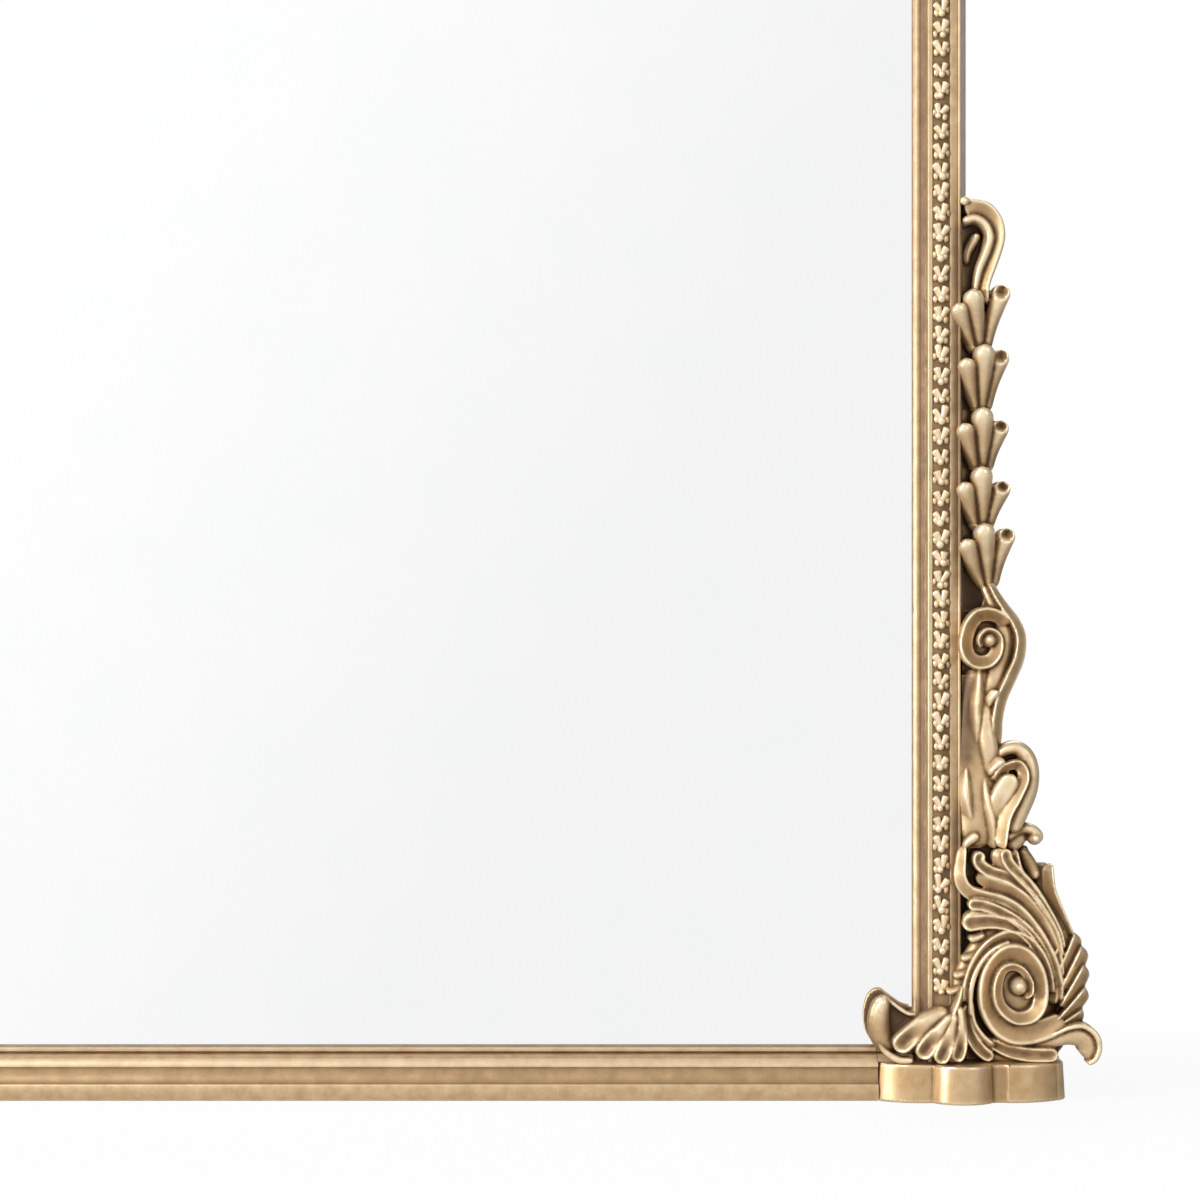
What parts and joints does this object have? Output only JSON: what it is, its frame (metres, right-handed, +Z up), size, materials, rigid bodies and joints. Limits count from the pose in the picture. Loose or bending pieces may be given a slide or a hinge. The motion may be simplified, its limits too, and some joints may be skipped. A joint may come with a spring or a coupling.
{
  "type": "arched mirror",
  "caption": "Round-headed gilt wall mirror with husk-and-bead moulding, lobed feet, carved side scrolls and crest; turn buttons hold the back and D-rings hang it.",
  "frame": {"origin": "middle of the bottom rail's underside at its back edge, on the plane the feet stand on", "axes": "+X to the viewer's right, +Y towards the wall, +Z up"},
  "size_m": [0.7696, 0.0435, 0.9],
  "materials": {
    "gilt_wood": "antique gold over gesso, satin",
    "gilt_resin": "cast resin, antique gold with brown in the hollows",
    "silvered_glass": "silvered, polished",
    "felt": "felt",
    "board": "hardboard",
    "beech": "bare wood",
    "plated_steel": "zinc plated",
    "rubber": "matt"
  },
  "bodies": {
    "frame": {"right_stile": "gilt_wood", "left_stile": "gilt_wood", "right_arch": "gilt_wood", "left_arch": "gilt_wood", "bottom_rail": "gilt_wood", "right_plinth": "gilt_wood", "left_plinth": "gilt_wood", "right_stile_beading": "gilt_resin", "left_stile_beading": "gilt_resin", "right_arch_beading": "gilt_resin", "left_arch_beading": "gilt_resin", "right_corner_scroll": "gilt_resin", "left_corner_scroll": "gilt_resin", "right_fan_leaf": "gilt_resin", "left_fan_leaf": "gilt_resin", "right_scroll_bracket": "gilt_resin", "left_scroll_bracket": "gilt_resin", "right_husk_drop": "gilt_resin", "left_husk_drop": "gilt_resin", "right_crest_scroll": "gilt_resin", "left_crest_scroll": "gilt_resin", "crest_palmette": "gilt_resin", "backing_board": "board", "felt_liner": "felt", "mirror_glass": "silvered_glass", "setting_blocks": "rubber", "frame_dowels": "beech", "wall_bumpers": "rubber", "button_screws": "plated_steel", "right_hanger_strap": "plated_steel", "left_hanger_strap": "plated_steel", "hanger_screws": "plated_steel"},
    "right_ring": {"right_d_ring": "plated_steel"},
    "left_ring": {"left_d_ring": "plated_steel"},
    "right_rail_turn": {"right_rail_button": "plated_steel"},
    "right_stile_turn": {"right_stile_button": "plated_steel"},
    "right_arch_low_turn": {"right_arch_low_button": "plated_steel"},
    "right_arch_high_turn": {"right_arch_high_button": "plated_steel"},
    "left_rail_turn": {"left_rail_button": "plated_steel"},
    "left_stile_turn": {"left_stile_button": "plated_steel"},
    "left_arch_low_turn": {"left_arch_low_button": "plated_steel"},
    "left_arch_high_turn": {"left_arch_high_button": "plated_steel"}
  },
  "joints": [
    {"name": "right_ring_swing", "type": "hinge", "parent": "frame", "child": "right_ring", "pos_m": [0.3195, 0.00251, 0.446], "axis": [1, 0, 0], "range_deg": [0, 185]},
    {"name": "left_ring_swing", "type": "hinge", "parent": "frame", "child": "left_ring", "pos_m": [-0.3195, 0.00251, 0.446], "axis": [1, 0, 0], "range_deg": [0, 185]},
    {"name": "right_rail_button_turn", "type": "hinge", "parent": "frame", "child": "right_rail_turn", "pos_m": [0.15, 0, 0.008], "axis": [0, 1, 0], "continuous": true},
    {"name": "right_stile_button_turn", "type": "hinge", "parent": "frame", "child": "right_stile_turn", "pos_m": [0.3195, 0, 0.25], "axis": [0, 1, 0], "continuous": true},
    {"name": "right_arch_low_button_turn", "type": "hinge", "parent": "frame", "child": "right_arch_low_turn", "pos_m": [0.26488, 0, 0.65066], "axis": [0, 1, 0], "continuous": true},
    {"name": "right_arch_high_button_turn", "type": "hinge", "parent": "frame", "child": "right_arch_high_turn", "pos_m": [0.11969, 0, 0.76824], "axis": [0, 1, 0], "continuous": true},
    {"name": "left_rail_button_turn", "type": "hinge", "parent": "frame", "child": "left_rail_turn", "pos_m": [-0.15, 0, 0.008], "axis": [0, 1, 0], "continuous": true},
    {"name": "left_stile_button_turn", "type": "hinge", "parent": "frame", "child": "left_stile_turn", "pos_m": [-0.3195, 0, 0.25], "axis": [0, 1, 0], "continuous": true},
    {"name": "left_arch_low_button_turn", "type": "hinge", "parent": "frame", "child": "left_arch_low_turn", "pos_m": [-0.26488, 0, 0.65066], "axis": [0, 1, 0], "continuous": true},
    {"name": "left_arch_high_button_turn", "type": "hinge", "parent": "frame", "child": "left_arch_high_turn", "pos_m": [-0.11969, 0, 0.76824], "axis": [0, 1, 0], "continuous": true}
  ]
}
